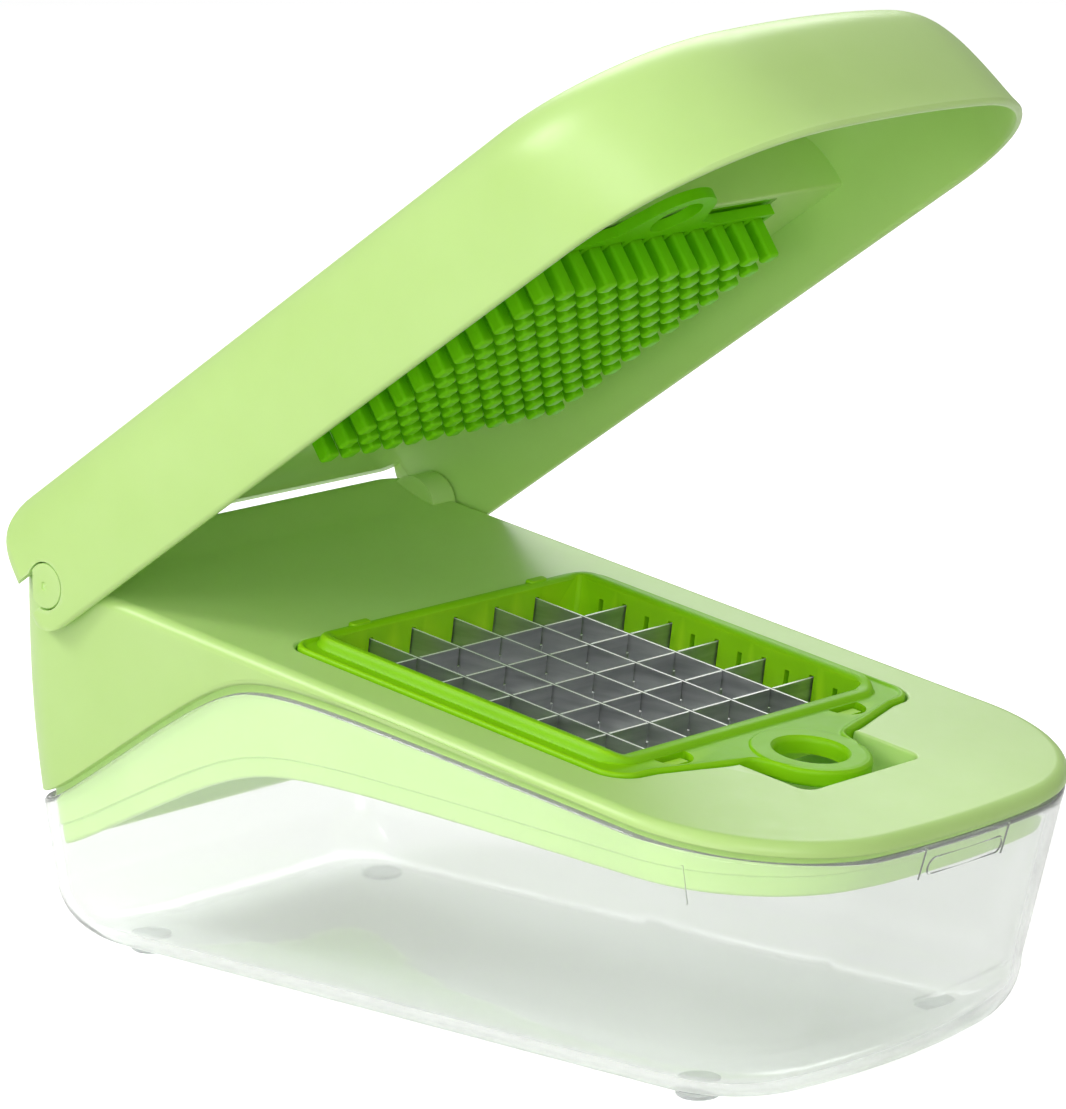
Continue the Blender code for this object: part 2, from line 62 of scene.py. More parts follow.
# Frames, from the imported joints
LIFT_AXIS = JOINTS["insert_lift"]["axis"]
PRESS_AXIS = JOINTS["pusher_slide"]["axis"]
TILT = math.atan2(LIFT_AXIS[0], LIFT_AXIS[2])
LID_OPEN = math.atan2(PRESS_AXIS[0], -PRESS_AXIS[2])
PIN_X, _, PIN_Z = [value / MM for value in JOINTS["lid_hinge"]["pos_m"]]
DECK_Z = 65.0
DECK = Matrix.Translation((0.0, 0.0, DECK_Z * MM)) @ Matrix.Rotation(TILT, 4, "Y")
HINGE = Matrix.Translation((PIN_X * MM, 0.0, PIN_Z * MM)) @ Matrix.Rotation(-LID_OPEN, 4, "Y")
WORLD = Matrix.Identity(4)

# Shared outer surface of the tub and the base
HALF_TOP, REAR_TOP, NOSE_TOP = 54.9, -104.9, 89.8
HALF_LOW, REAR_LOW, NOSE_LOW = 46.6, -107.4, 78.9
LOW_Z, FLOOR_Z = 14.0, 1.2
REAR_BULGE = 2.25
REAR_SWEEP, EDGE_RUN = 11.0, 8.7
REAR_R, FRONT_R, FRONT_LOW_R, NOSE_BOW = 11.0, 36.0, 18.0, 6.0
EDGE_DROP = 2.2
TUB_WALL = 2.0
RIM_LOWERED = 1.2       # the rim stands this far below its line, so that a groove shows above it
SKIRT_IN, BASE_WALL = 2.5, 4.4
STEP = 0.45             # the skirt steps in by this, a little above its lower edge
GAP = 0.3

# Rim line of the tub and lower line of the skirt, seen from the side
RIM_REAR_Z, RIM_SLOPE, RIM_START_X = 31.0, 0.64, -102.0
SKIRT_REAR_Z, SKIRT_MID_Z, SKIRT_FALL, SKIRT_SLOPE = 19.8, 47.2, 0.062, 0.52

# Fine raised lines on the nose of the tub
RIDGE_R = 0.25
MARK_HALF, MARK_HEIGHT, MARK_MIDDLE = 11.0, 3.3, (0.5, 43.7)
NOSE_RIB_Y, NOSE_RIB_Z = 12.3, (41.6, 47.8)
CORNER_RIB_X, CORNER_RIB_Z = 65.0, (41.0, 48.4)
MIDDLE_X = 40.0         # the lines stand out from here

# Blade insert, in the deck's frame
GRID_HALF = 36.0
OPENING = GRID_HALF + 0.3
PLATE_LOW = -2.4
SEAT_GAP = 0.4
TUBE_HALF, TUBE_LOW = 38.4, -9.0
BLADE_TOP, BLADE_T, CELL = -1.2, 0.5, 12.0
RING_U, RING_R, RING_HOLE_R = 53.0, 11.7, 7.1
POCKET_REAR, POCKET_NOSE, POCKET_HALF, POCKET_R, POCKET_DEPTH = 43.0, 66.0, 17.0, 2.6, 8.6
CATCH_Y = 25.5          # middle of each rear catch and of each crescent slot

# Lid and pusher, in the hinge's frame
LID_HALF, LID_WALL = 57.2, 1.8
RIM_DROP = 8.8
PANEL_W = 4.2
PRESS_X = 92.4
TOOTH, TOOTH_PITCH, TEETH = 3.3, 5.9, 12
TOOTH_TIP, PUSHER_LOW, PUSHER_TOP = -6.2, 4.5, 6.7
GRID_LOW, GRID_TOP = 1.7, 3.9

# Light: each lamp has a place, a target, a size and a power
WORLD_LIGHT = 0.32
FLOOR_SIZE = 6.0
FLOOR_GLOW, SEEN_GLOW = 0.62, 0.3
FLOOR_BOUNCE = 0.36     # grey of the floor in the light it throws back
SHADE = (0.3, 0.5, 0.3)  # painted shade: share of each colour of the deep tone that is left in a crevice
LAMPS = {
    "key": ((0.0, -1.15, 0.7), (0.0, 0.0, 0.08), 0.5, 2.3),
    "back": ((-0.8, 0.8, 1.0), (0.02, 0.0, 0.06), 0.9, 8.3),
    "side": ((-0.52, -0.65, 0.68), (0.03, -0.05, 0.15), 0.35, 3.6),
    "nose": ((0.85, -0.55, 0.62), (0.0, 0.0, 0.07), 0.5, 2.7),
    "low": ((0.4, -0.9, 0.08), (0.0, 0.0, 0.05), 0.45, 2.3),
}

# Camera
CAMERA_AT, CAMERA_TARGET = (0.65459, -0.75853, 0.30036), (-0.01597, 0.0, 0.08472)
LENS, SENSOR = 175.3, 36.0


# --------------------------------------------------------------- mesh tools

def new_object(name, mesh):
    """Links a new object with this mesh into the scene."""
    obj = bpy.data.objects.new(name, mesh)
    bpy.context.scene.collection.objects.link(obj)
    return obj


def from_faces(name, points, faces, matrix=WORLD):
    """A closed mesh from points in millimetres, with its faces turned outwards."""
    mesh = bpy.data.meshes.new(name)
    mesh.from_pydata([tuple(p) for p in np.asarray(points) * MM], [], faces)
    bm = bmesh.new()
    bm.from_mesh(mesh)
    bmesh.ops.recalc_face_normals(bm, faces=bm.faces)
    if bm.calc_volume(signed=True) < 0:
        bmesh.ops.reverse_faces(bm, faces=bm.faces)
    bm.to_mesh(mesh)
    bm.free()
    mesh.transform(matrix)
    return new_object(name, mesh)


def loft(name, rings, matrix=WORLD, closed=False):
    """A body through rings of equal point counts: closed on itself, or with flat ends."""
    count = len(rings[0])
    faces = []
    for k in range(len(rings) if closed else len(rings) - 1):
        low = k * count
        high = (k + 1) % len(rings) * count
        for i in range(count):
            j = (i + 1) % count
            faces.append((low + i, low + j, high + j, high + i))
    if not closed:
        last = (len(rings) - 1) * count
        faces.append(tuple(range(count)))
        faces.append(tuple(range(last, last + count)))
    return from_faces(name, np.concatenate(rings), faces, matrix)


def lathe(name, profile, matrix, steps=64):
    """A turned ring: a closed (radius, height) profile about the matrix's Z axis."""
    profile = np.array(profile)
    angles = np.arange(steps) * 2 * math.pi / steps
    count = len(profile)
    points = [(r * math.cos(a), r * math.sin(a), z) for a in angles for r, z in profile]
    faces = []
    for i in range(steps):
        j = (i + 1) % steps
        for k in range(count):
            n = (k + 1) % count
            faces.append((i * count + k, j * count + k, j * count + n, i * count + n))
    return from_faces(name, points, faces, matrix)


def cut(obj, tool, operation="DIFFERENCE"):
    """Applies a boolean at once, closes up its slivers and removes the tool."""
    mod = obj.modifiers.new("cut", "BOOLEAN")
    mod.operation = operation
    mod.solver = "EXACT"
    mod.object = tool
    apply_modifiers(obj)
    bpy.data.objects.remove(tool, do_unlink=True)
    bm = bmesh.new()
    bm.from_mesh(obj.data)
    bmesh.ops.remove_doubles(bm, verts=bm.verts, dist=WELD * MM)
    bmesh.ops.dissolve_degenerate(bm, edges=bm.edges, dist=WELD * MM)
    bm.to_mesh(obj.data)
    bm.free()


def join_in(obj, tool):
    """Makes the tool part of the object."""
    cut(obj, tool, "UNION")


def apply_modifiers(obj):
    """Replaces the object's mesh by what its modifiers make of it."""
    graph = bpy.context.evaluated_depsgraph_get()
    mesh = bpy.data.meshes.new_from_object(obj.evaluated_get(graph))
    obj.modifiers.clear()
    obj.data = mesh


def bevel(obj, width, segments, angle):
    """Rounds the edges that are sharper than the angle."""
    mod = obj.modifiers.new("edges", "BEVEL")
    mod.width = width * MM
    mod.segments = segments
    mod.limit_method = "ANGLE"
    mod.angle_limit = math.radians(angle)
    apply_modifiers(obj)


def smooth(obj):
    """Smooth shading that keeps flat faces flat."""
    obj.data.shade_smooth()
    obj.data.set_sharp_from_angle(angle=math.radians(SHARP_ANGLE))
    mod = obj.modifiers.new("normals", "WEIGHTED_NORMAL")
    mod.keep_sharp = True
    mod.weight = 100
    apply_modifiers(obj)


def add_piece(obj, body, mat, nodes):
    """Finishes a piece, hangs it on its body and hides the CAD nodes that it stands in for."""
    smooth(obj)
    obj.data.materials.clear()
    obj.data.materials.append(mat)
    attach(obj, body)
    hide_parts(*nodes)


# ------------------------------------------------------------------ outlines

def arc(cx, cy, radius, start, end, steps):
    """Points on an arc, in degrees, both ends included."""
    angles = np.radians(np.linspace(start, end, steps + 1))
    return np.stack([cx + radius * np.cos(angles), cy + radius * np.sin(angles)], 1)


def line(start, end, steps):
    """Points along a line, without its ends."""
    t = np.linspace(0, 1, steps + 1)[1:-1, None]
    return np.array(start) * (1 - t) + np.array(end) * t


def mirrored(near):
    """Closes an outline that starts and ends on the middle line."""
    far = near[-2:0:-1] * (1, -1)
    return np.concatenate([near, far])


def plan(half, rear, nose, rear_r, front_r, bow):
    """Outline from above: straight sides, round corners and a bowed nose."""
    nose_r = (half * half + bow * bow) / (2 * bow)
    cx = nose - nose_r
    fy = half - front_r
    fx = cx + math.sqrt((nose_r - front_r) ** 2 - fy * fy)
    turn = math.degrees(math.atan2(fy, fx - cx))
    rear_end = (rear, -half + rear_r)
    side_start = (rear + rear_r, -half)
    near = [np.array([(rear, 0.0)]), line((rear, 0.0), rear_end, 14)]
    near.append(arc(rear + rear_r, -half + rear_r, rear_r, 180, 270, 14))
    near.append(line(side_start, (fx, -half), 80))
    near.append(arc(fx, -fy, front_r, -90, -turn, 26))
    near.append(arc(cx, 0.0, nose_r, -turn, 0, 14)[1:])
    return mirrored(np.concatenate(near))


def rounded_rect(x0, x1, half, radius, steps=8):
    """Rectangle with round corners, from x0 to x1 and half to each side."""
    near = [np.array([(x0, 0.0)]), line((x0, 0.0), (x0, -half + radius), 4)]
    near.append(arc(x0 + radius, -half + radius, radius, 180, 270, steps))
    near.append(line((x0 + radius, -half), (x1 - radius, -half), 8))
    near.append(arc(x1 - radius, -half + radius, radius, 270, 360, steps))
    near.append(line((x1, -half + radius), (x1, 0.0), 4))
    near.append(np.array([(x1, 0.0)]))
    return mirrored(np.concatenate(near))


def ring3(outline, z):
    """The outline at a height, which may be one number or one for each point."""
    return np.column_stack([outline, np.broadcast_to(z, len(outline))])


def deck_height(x):
    """Height of the deck's plane."""
    return DECK_Z - x * math.tan(TILT)


def smooth_low(a, b, k):
    """The lower of two heights, with the corner between them rounded."""
    return 0.5 * (a + b - np.sqrt((a - b) ** 2 + k * k))


def rim_height(x):
    """Top edge of the tub: low behind, a quick rise, then below the deck edge."""
    rise = RIM_REAR_Z + RIM_SLOPE * (x - RIM_START_X)
    crest = smooth_low(rise, deck_height(x) - EDGE_DROP - GAP, 10.0)
    return -smooth_low(-crest, -RIM_REAR_Z, 3.0)


def skirt_height(x):
    """Lower edge of the skirt, which nests inside the tub."""
    rise = SKIRT_REAR_Z + SKIRT_SLOPE * (x - RIM_START_X)
    crest = smooth_low(rise, SKIRT_MID_Z - SKIRT_FALL * x, 9.4)
    return -smooth_low(-crest, -SKIRT_REAR_Z, 3.0)


def top_plan(inset):
    """Outline at the height of the deck."""
    return plan(HALF_TOP - inset, REAR_TOP + inset, NOSE_TOP - inset,
                REAR_R - inset, FRONT_R - inset, NOSE_BOW)


def low_plan(inset, run_in=0.0):
    """Outline above the bottom edge (run_in 0), drawn in to the floor (run_in 1)."""
    side = (EDGE_RUN - inset / 2) * run_in
    rear = (REAR_SWEEP - inset / 2) * run_in
    return plan(HALF_LOW - inset - side, REAR_LOW + inset + rear, NOSE_LOW - inset - side,
                REAR_R - inset, FRONT_LOW_R - inset, NOSE_BOW)


def wall(inset, z):
    """A ring on the shared outer surface, moved in by inset, at height z at each point."""
    low = low_plan(inset)
    high = top_plan(inset)
    top = deck_height(high[:, 0]) - EDGE_DROP
    t = (z - LOW_Z) / (top - LOW_Z)
    points = low + (high - low) * t[:, None]
    weight = np.clip(-points[:, 0] / 104.0, 0, None) ** 2
    points[:, 0] -= REAR_BULGE * np.sin(np.pi * np.clip(t, 0, 1)) * weight
    points[:, 0] = np.maximum(points[:, 0], rear_curve(z) + inset)
    return np.column_stack([points, z])


def rear_curve(z):
    """How far back the rear wall reaches where it leans in towards the hinge."""
    return np.interp(z, (56.0, 60.0, 66.0, 72.0, 77.0, 79.8, 82.0),
                     (-112.0, -107.4, -106.0, -104.2, -101.8, -99.6, -97.4))


def wall_line(inset, height, offset=0.0):
    """Where the surface meets a side line such as the rim."""
    x = low_plan(inset)[:, 0]
    for _ in range(5):
        ring = wall(inset, height(x) + offset)
        x = ring[:, 0]
    return ring


def wall_between(inset, low, high, steps):
    """Rings from one wall ring to another, both left out."""
    return [wall(inset, low[:, 2] * (1 - t) + high[:, 2] * t)
            for t in np.linspace(0, 1, steps + 1)[1:-1]]


def foot_rings(inset, steps=9):
    """The rounded bottom edge, from the floor up."""
    rings = []
    for angle in np.linspace(0, math.pi / 2, steps + 1):
        rise = (LOW_Z - FLOOR_Z - inset) * (1 - math.cos(angle))
        rings.append(ring3(low_plan(inset, 1 - math.sin(angle)), FLOOR_Z + inset + rise))
    return rings


# ----------------------------------------------------------------- materials

def new_material(name):
    """A material with its node tree and its Principled shader."""
    mat = bpy.data.materials.new(name)
    mat.use_nodes = True
    tree = mat.node_tree
    return mat, tree, tree.nodes["Principled BSDF"]


def noise(tree, scale, detail, stretch=None):
    """Noise in the object's own coordinates, which stretch can scale along each axis."""
    coords = tree.nodes.new("ShaderNodeTexCoord")
    node = tree.nodes.new("ShaderNodeTexNoise")
    node.inputs["Scale"].default_value = scale
    node.inputs["Detail"].default_value = detail
    if stretch:
        mapping = tree.nodes.new("ShaderNodeMapping")
        mapping.inputs["Scale"].default_value = stretch
        tree.links.new(coords.outputs["Object"], mapping.inputs["Vector"])
        tree.links.new(mapping.outputs["Vector"], node.inputs["Vector"])
    else:
        tree.links.new(coords.outputs["Object"], node.inputs["Vector"])
    return node.outputs["Fac"]


def ranged(tree, value, low, high, start=0.3, end=0.7):
    """Maps a value between start and end to one between low and high."""
    node = tree.nodes.new("ShaderNodeMapRange")
    node.inputs["From Min"].default_value = start
    node.inputs["From Max"].default_value = end
    node.inputs["To Min"].default_value = low
    node.inputs["To Max"].default_value = high
    tree.links.new(value, node.inputs["Value"])
    return node.outputs["Result"]


def blend(tree, factor, a, b):
    """Mixes two colours, each given as a tuple or as a node's output."""
    node = tree.nodes.new("ShaderNodeMix")
    node.data_type = "RGBA"
    tree.links.new(factor, node.inputs["Factor"])
    for socket, value in ((node.inputs["A"], a), (node.inputs["B"], b)):
        if isinstance(value, tuple):
            socket.default_value = (*value, 1.0)
        else:
            tree.links.new(value, socket)
    return node.outputs["Result"]


def bump(tree, shader, height, strength, distance):
    """Fine relief from a height."""
    node = tree.nodes.new("ShaderNodeBump")
    node.inputs["Strength"].default_value = strength
    node.inputs["Distance"].default_value = distance
    tree.links.new(height, node.inputs["Height"])
    tree.links.new(node.outputs["Normal"], shader.inputs["Normal"])


def edge_highlight(tree):
    """Mask for the painted highlight: about 1 on convex edges and 0 on flat faces."""
    geometry = tree.nodes.new("ShaderNodeNewGeometry")
    return ranged(tree, geometry.outputs["Pointiness"], 0.0, 1.0, 0.53, 0.6)


def crevice_shade(tree):
    """Mask for painted shade: about 1 deep in a groove or between teeth and 0 in the open."""
    node = tree.nodes.new("ShaderNodeAmbientOcclusion")
    node.samples = 8
    node.only_local = True
    node.inputs["Distance"].default_value = 0.0035
    return ranged(tree, node.outputs["AO"], 1.0, 0.0, 0.1, 0.7)


def moulded_plastic(name, colour, deep, edge, roughness, glow, gloss, paint_crevice_shade=False):
    """Satin moulded plastic: faint clouding, fine grain, convex edges painted paler as a painted
    highlight, painted shade in crevices when paint_crevice_shade is set, and a soft inner glow.
    """
    mat, tree, shader = new_material(name)
    cloud = noise(tree, 45.0, 3.0)
    body = blend(tree, ranged(tree, cloud, 0.0, 1.0), deep, colour)
    # painted highlight: convex edges are painted in the paler edge colour
    painted_light_colour = blend(tree, edge_highlight(tree), body, edge)
    # painted shade: crevices and the gaps between teeth are darkened towards the deep tone by local
    # occlusion
    if paint_crevice_shade:
        shade = tuple(part * share for part, share in zip(deep, SHADE))
        painted_light_colour = blend(tree, crevice_shade(tree), painted_light_colour, shade)
    tree.links.new(painted_light_colour, shader.inputs["Base Color"])
    smear = noise(tree, 420.0, 3.0, (1.0, 1.0, 0.5))
    tree.links.new(ranged(tree, smear, roughness - 0.02, roughness + 0.03),
                   shader.inputs["Roughness"])
    shader.inputs["Subsurface Weight"].default_value = glow
    shader.inputs["Subsurface Radius"].default_value = (0.8, 1.0, 0.35)
    shader.inputs["Subsurface Scale"].default_value = 0.003
    shader.inputs["Specular IOR Level"].default_value = gloss
    bump(tree, shader, noise(tree, 2600.0, 2.0), 0.12, 0.00004)
    return mat


def clear_plastic(name, tint, roughness, clarity):
    """Polished clear plastic with faint flow lines and rubbed patches; lamps shine through it."""
    mat, tree, shader = new_material(name)
    shader.inputs["Base Color"].default_value = (*tint, 1.0)
    shader.inputs["Transmission Weight"].default_value = clarity
    shader.inputs["IOR"].default_value = 1.46
    rub = noise(tree, 60.0, 5.0)
    tree.links.new(ranged(tree, rub, roughness, roughness + 0.05), shader.inputs["Roughness"])
    bump(tree, shader, noise(tree, 90.0, 1.0, (1.0, 1.0, 0.25)), 0.05, 0.0002)
    path = tree.nodes.new("ShaderNodeLightPath")
    through = tree.nodes.new("ShaderNodeBsdfTransparent")
    through.inputs["Color"].default_value = (0.86, 0.88, 0.87, 1.0)
    mix = tree.nodes.new("ShaderNodeMixShader")
    tree.links.new(path.outputs["Is Shadow Ray"], mix.inputs["Fac"])
    tree.links.new(shader.outputs["BSDF"], mix.inputs[1])
    tree.links.new(through.outputs["BSDF"], mix.inputs[2])
    tree.links.new(mix.outputs["Shader"], tree.nodes["Material Output"].inputs["Surface"])
    return mat


def brushed_steel(name):
    """Stainless strip with fine grinding lines along it; its upward faces, the ground top edges,
    are painted near-white and less metallic as a painted highlight.
    """
    mat, tree, shader = new_material(name)
    grain = noise(tree, 700.0, 4.0, (0.1, 0.1, 1.0))
    geometry = tree.nodes.new("ShaderNodeNewGeometry")
    split = tree.nodes.new("ShaderNodeSeparateXYZ")
    tree.links.new(geometry.outputs["Normal"], split.inputs["Vector"])
    # painted highlight: faces turned upwards are painted near-white and made less metallic, so the
    # top edges read as bright lines
    edge = ranged(tree, split.outputs["Z"], 0.0, 1.0, 0.8, 0.95)
    tone = blend(tree, ranged(tree, grain, 0.0, 1.0), (0.36, 0.37, 0.38), (0.5, 0.51, 0.52))
    tree.links.new(blend(tree, edge, tone, (0.97, 0.97, 0.97)), shader.inputs["Base Color"])
    tree.links.new(ranged(tree, edge, 0.9, 0.15, 0.0, 1.0), shader.inputs["Metallic"])
    tree.links.new(ranged(tree, grain, 0.32, 0.46), shader.inputs["Roughness"])
    bump(tree, shader, grain, 0.08, 0.00002)
    return mat


# ----------------------------------------------------------------------- tub

def floor_ring(inset, z):
    """A small ring round the middle of the floor, for closing it."""
    outline = low_plan(inset, 1.0)
    middle = outline.mean(0)
    return ring3(middle + (outline - middle) * 0.25, z)


def make_tub():
    """The clear tub: outside from the floor up, over the rim and down the inside."""
    rim = wall_line(TUB_WALL / 2, rim_height)[:, 2] - TUB_WALL / 2 - RIM_LOWERED
    rings = [floor_ring(0.0, FLOOR_Z)] + foot_rings(0.0)
    edge = wall(0.0, rim)
    rings += wall_between(0.0, rings[-1], edge, 26)
    for angle in np.linspace(0, math.pi, 9):
        inset = TUB_WALL / 2 * (1 - math.cos(angle))
        rings.append(wall(inset, rim + TUB_WALL / 2 * math.sin(angle)))
    inside = foot_rings(TUB_WALL)[::-1]
    rings += wall_between(TUB_WALL, rings[-1], inside[0], 26) + inside
    rings.append(floor_ring(TUB_WALL, FLOOR_Z + TUB_WALL))
    tub = loft("tub", rings)
    add_tub_lines(tub)
    return tub


def add_tub_lines(tub):
    """A round-ended outline on the nose, with short ribs beside it and on the corners."""
    bend = MARK_HEIGHT / 2
    mark = np.concatenate([arc(MARK_HALF - bend, 0, bend, -90, 90, 16),
                           arc(bend - MARK_HALF, 0, bend, 90, 270, 16)])
    join_in(tub, ridge("mark", [nose_point(y, z) for y, z in mark + MARK_MIDDLE], True))
    for y in (-NOSE_RIB_Y, NOSE_RIB_Y):
        join_in(tub, ridge("rib", [nose_point(y, z) for z in np.linspace(*NOSE_RIB_Z, 8)]))
    for side in (-1, 1):
        join_in(tub, ridge("rib", [corner_point(side, z) for z in np.linspace(*CORNER_RIB_Z, 8)]))


def level_ring(z):
    """The outer surface at one height."""
    return wall(0.0, np.full(len(low_plan(0.0)), z))


def nose_point(y, z):
    """The point of the nose wall at that height and that far across."""
    ring = level_ring(z)
    nose = ring[ring[:, 0] > 60.0]
    nose = nose[np.argsort(nose[:, 1])]
    return np.array([np.interp(y, nose[:, 1], nose[:, 0]), y, z])


def corner_point(side, z):
    """The point of the side wall just behind the nose corner."""
    ring = level_ring(z)
    flank = ring[(ring[:, 1] * side > 30.0) & (ring[:, 0] > 0.0)]
    flank = flank[np.argsort(flank[:, 0])]
    return np.array([CORNER_RIB_X, np.interp(CORNER_RIB_X, flank[:, 0], flank[:, 1]), z])


def ridge(name, path, closed=False):
    """A thin moulded line along a path, round in section."""
    path = np.array(path)
    count = len(path)
    rings = []
    for i in range(count):
        ahead = path[(i + 1) % count if closed else min(i + 1, count - 1)]
        along = ahead - path[i - 1 if closed or i else 0]
        along /= np.linalg.norm(along)
        out = np.array([path[i, 0] - MIDDLE_X, path[i, 1], 0.0])
        out -= along * (out @ along)
        out /= np.linalg.norm(out)
        across = np.cross(along, out)
        angles = np.linspace(0, 2 * math.pi, 9)[:-1, None]
        rings.append(path[i] + RIDGE_R * (np.cos(angles) * out + np.sin(angles) * across))
    return loft(name, rings, closed=closed)


# ---------------------------------------------------------------------- base

def lip(x):
    """Height of the deck above its own plane where it sweeps up to the hinge."""
    return 2.4 * np.clip((-84.0 - x) / 12.5, 0, 1) ** 2


def squeezed(outline, rear):
    """Draws the part of an outline behind the middle in, so that it ends at rear."""
    start = -60.0
    behind = outline[:, 0] < start
    scale = (start - rear) / (start - outline[:, 0].min())
    outline[behind, 0] = start + (outline[behind, 0] - start) * scale
    return outline


def base_top_rings():
    """From the flat deck outwards over the rear sweep and round the edge."""
    rings = []
    for k in range(10, 0, -1):
        outline = squeezed(top_plan(EDGE_DROP + 0.3 * k), -97.5 + 1.35 * (k - 1))
        rings.append(ring3(outline, deck_height(outline[:, 0]) + lip(outline[:, 0])))
    for angle in np.linspace(90, 0, 8):
        a = math.radians(angle)
        inset = EDGE_DROP * (1 - math.cos(a))
        outline = squeezed(top_plan(inset), -99.7 + inset)
        top = deck_height(outline[:, 0]) + lip(outline[:, 0])
        rings.append(ring3(outline, top - EDGE_DROP * (1 - math.sin(a))))
    return rings


def ledge_height(x):
    """Lower face of the base's edge, just above the rim of the tub."""
    return np.minimum(rim_height(x) + GAP, deck_height(x) - EDGE_DROP - 0.35)


def under_edge(angle):
    """Rounding under the edge, wider along the middle of the sides."""
    outer = wall_line(0.0, ledge_height, 0.3)
    radius = 0.3 + 1.3 * np.exp(-((outer[:, 0] + 8.0) / 42.0) ** 2)
    inner = wall_line(SKIRT_IN, ledge_height, 0.3)
    across = radius * (1 - math.cos(angle)) / SKIRT_IN
    ring = outer + (inner - outer) * across[:, None]
    ring[:, 2] = outer[:, 2] - 0.3 + radius * (1 - math.sin(angle))
    return ring


def make_base():
    """The casing: deck, outside, edge, stepped skirt and the inside back up."""
    rings = base_top_rings()
    edge = under_edge(0.0)
    rings += wall_between(0.0, rings[-1], edge, 26)
    rings += [under_edge(math.radians(angle)) for angle in np.linspace(0, 90, 7)]
    rings.append(wall_line(SKIRT_IN - 0.05, ledge_height))
    rings.append(wall_line(SKIRT_IN, ledge_height, -0.2))
    step = wall_line(SKIRT_IN, skirt_height, 4.4)
    rings += wall_between(SKIRT_IN, rings[-1], step, 8) + [step]
    rings.append(wall_line(SKIRT_IN + STEP, skirt_height, 4.0))
    thick = (BASE_WALL - SKIRT_IN - STEP) / 2
    bottom = wall_line(SKIRT_IN + STEP, skirt_height, thick)
    rings += wall_between(SKIRT_IN + STEP, rings[-1], bottom, 5)
    for angle in np.linspace(0, math.pi, 7):
        inset = SKIRT_IN + STEP + thick * (1 - math.cos(angle))
        rings.append(wall_line(inset, skirt_height, thick * (1 - math.sin(angle))))
    under = ring3(squeezed(top_plan(BASE_WALL), -95.5), 0.0)
    under[:, 2] = deck_height(under[:, 0]) - 5.6
    rings += wall_between(BASE_WALL, rings[-1], under, 14) + [under]
    base = loft("base_casing", rings)
    add_base_details(base)
    return base


def add_base_details(base):
    """Hinge ears, the block under the pocket, and the openings for insert and finger."""
    for side in (-1, 1):
        join_in(base, hinge_lobe(side))
    block = [ring3(rounded_rect(40.0, 68.4, 19.4, 6.0), w) for w in (-10.4, -5.0)]
    join_in(base, loft("pocket_block", block, DECK))
    cut(base, loft("window", [ring3(window_outline(), w) for w in (-30.0, -1.0)], DECK))
    cut(base, flared("seat", insert_outline, SEAT_GAP, PLATE_LOW - GAP, 0.7))
    cut(base, pocket_scoop())


def flared(name, outline, grow, low, radius):
    """A cutter that leaves a rounded edge where it leaves the deck."""
    rings = [ring3(outline(grow), low)]
    for angle in (0, 18, 36, 54, 70, 82):
        a = math.radians(angle)
        rings.append(ring3(outline(grow + radius * (1 - math.cos(a))),
                           -radius * (1 - math.sin(a))))
    rings.append(ring3(outline(grow + radius + 0.1), 0.02))
    rings.append(ring3(outline(grow + radius + 0.1), 4.0))
    return loft(name, rings, DECK)


def pocket_scoop():
    """The finger pocket: square corners above, scooped round to its floor."""
    rings = []
    for t in np.linspace(1.0, 0.0, 12):
        shrink = 5.5 * (1 - math.sqrt(max(0.0, 1 - t ** 2.2)))
        rings.append(ring3(rounded_rect(POCKET_REAR + shrink, POCKET_NOSE - shrink,
                                        POCKET_HALF - shrink, POCKET_R),
                           -0.5 - (POCKET_DEPTH - 0.5) * t))
    for grow, w in ((0.12, -0.22), (0.35, -0.06), (0.7, 0.03), (0.7, 4.0)):
        rings.append(ring3(rounded_rect(POCKET_REAR - grow, POCKET_NOSE + grow,
                                        POCKET_HALF + grow, POCKET_R + grow), w))
    return loft("scoop", rings, DECK)


def window_outline():
    """The opening through the deck: a square for the insert with a step towards the ring."""
    left = TUBE_HALF + 0.8
    return np.array([(-left, -left), (left, -left), (left, -31), (44.2, -31),
                     (44.2, 31), (left, 31), (left, left), (-left, left)], float)


def hinge_lobe(side):
    """Round ear at the side of the base, where the pin stands out."""
    radius, edge = 6.2, 1.0
    y0, y1 = 47.5, HALF_TOP
    profile = [(0.01, y0), (radius, y0)]
    profile += [tuple(p) for p in arc(radius - edge, y1 - edge, edge, 0, 90, 5)]
    profile += [(0.01, y1)]
    turn = Matrix.Translation((PIN_X * MM, 0, PIN_Z * MM)) @ Matrix.Rotation(
        math.radians(90 if side < 0 else -90), 4, "X")
    return lathe("lobe", profile, turn)


# ------------------------------------------------------------------- insert

def insert_outline(grow=0.0, ring_r=RING_R):
    """Rectangle with a flared nose that carries the finger ring."""
    g = grow
    near = [np.array([(-39.7 - g, 0.0)]), line((-39.7 - g, 0.0), (-39.7 - g, -39.0), 10)]
    near.append(arc(-34.9, -39.0, 4.8 + g, 180, 270, 10))
    near.append(line((-34.9, -43.8 - g), (38.2, -43.8 - g), 16))
    near.append(arc(38.2, -37.8, 6.0 + g, 270, 350, 12))
    control = [(44.2 + g, -36.0), (46.8 + g, -27.0), (49.2 + g, -18.2 - g), (50.6, -13.4 - g),
               (RING_U + 3.0, -RING_R - g + 0.4)]
    near.append(curve_through(control, 5)[1:])
    near.append(arc(RING_U, 0.0, ring_r + g, -68, 0, 16))
    return mirrored(np.concatenate(near))


def curve_through(points, steps):
    """A smooth curve through the points."""
    p = np.array([points[0]] + list(points) + [points[-1]], float)
    out = []
    for k in range(1, len(p) - 2):
        for t in np.arange(steps) / steps:
            out.append(0.5 * (2 * p[k] + (p[k + 1] - p[k - 1]) * t
                              + (2 * p[k - 1] - 5 * p[k] + 4 * p[k + 1] - p[k + 2]) * t ** 2
                              + (3 * p[k] - p[k - 1] - 3 * p[k + 1] + p[k + 2]) * t ** 3))
    return np.array(out)


